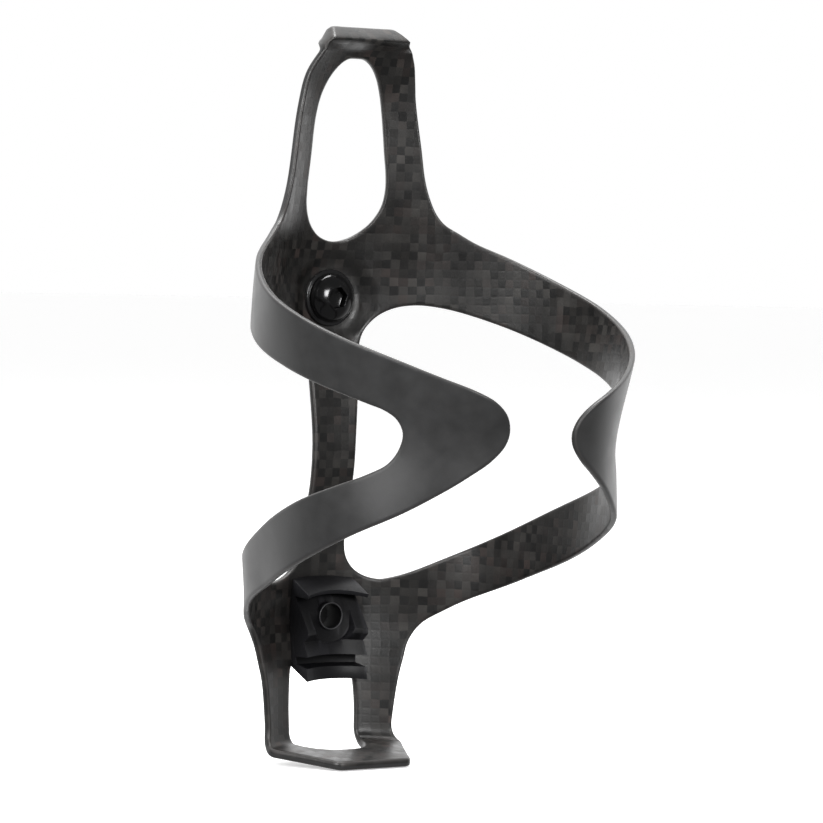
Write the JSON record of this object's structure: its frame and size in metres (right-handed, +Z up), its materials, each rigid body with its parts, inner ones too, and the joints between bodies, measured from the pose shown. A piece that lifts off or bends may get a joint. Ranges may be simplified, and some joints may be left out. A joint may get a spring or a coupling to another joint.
{
  "type": "bicycle water bottle cage",
  "caption": "Carbon bottle cage with two swept side wings, a windowed top loop with a hooked lip, a tapered foot and a moulded cradle block; bolts to a frame.",
  "frame": {"origin": "on the plane of the two pads that meet the bicycle frame, midway between the two bolt holes", "axes": "+Z up along the bottle, +Y towards the bicycle frame, -Y towards the bottle and the wings' tips, +X to the right seen from the bottle's side"},
  "size_m": [0.0754, 0.088, 0.1477],
  "materials": {
    "carbon_weave": "satin carbon fibre, chequer weave",
    "carbon_satin": "smooth satin carbon fibre",
    "moulded_plastic": "dull moulded black",
    "black_steel": "glossy black"
  },
  "bodies": {
    "body": {"spine": "carbon_weave", "foot": "carbon_weave", "cradle_block": "moulded_plastic", "upper_washer": "black_steel", "upper_bolt": "black_steel"},
    "right_wing": {"right_wing": "carbon_satin"},
    "left_wing": {"left_wing": "carbon_satin"},
    "top_loop": {"top_loop": "carbon_weave"}
  },
  "joints": [
    {"name": "right_wing_spread", "type": "hinge", "parent": "body", "child": "right_wing", "pos_m": [0.0236, -0.0148, 0], "axis": [0, 0, 1], "range_deg": [0, 8], "stiffness_Nm_per_rad": 4},
    {"name": "left_wing_spread", "type": "hinge", "parent": "body", "child": "left_wing", "pos_m": [-0.0236, -0.0148, 0], "axis": [0, 0, -1], "range_deg": [0, 8], "stiffness_Nm_per_rad": 4},
    {"name": "top_loop_flex", "type": "hinge", "parent": "body", "child": "top_loop", "pos_m": [0, -0.0062, 0.0404], "axis": [-1, 0, 0], "range_deg": [0, 5], "stiffness_Nm_per_rad": 4}
  ]
}
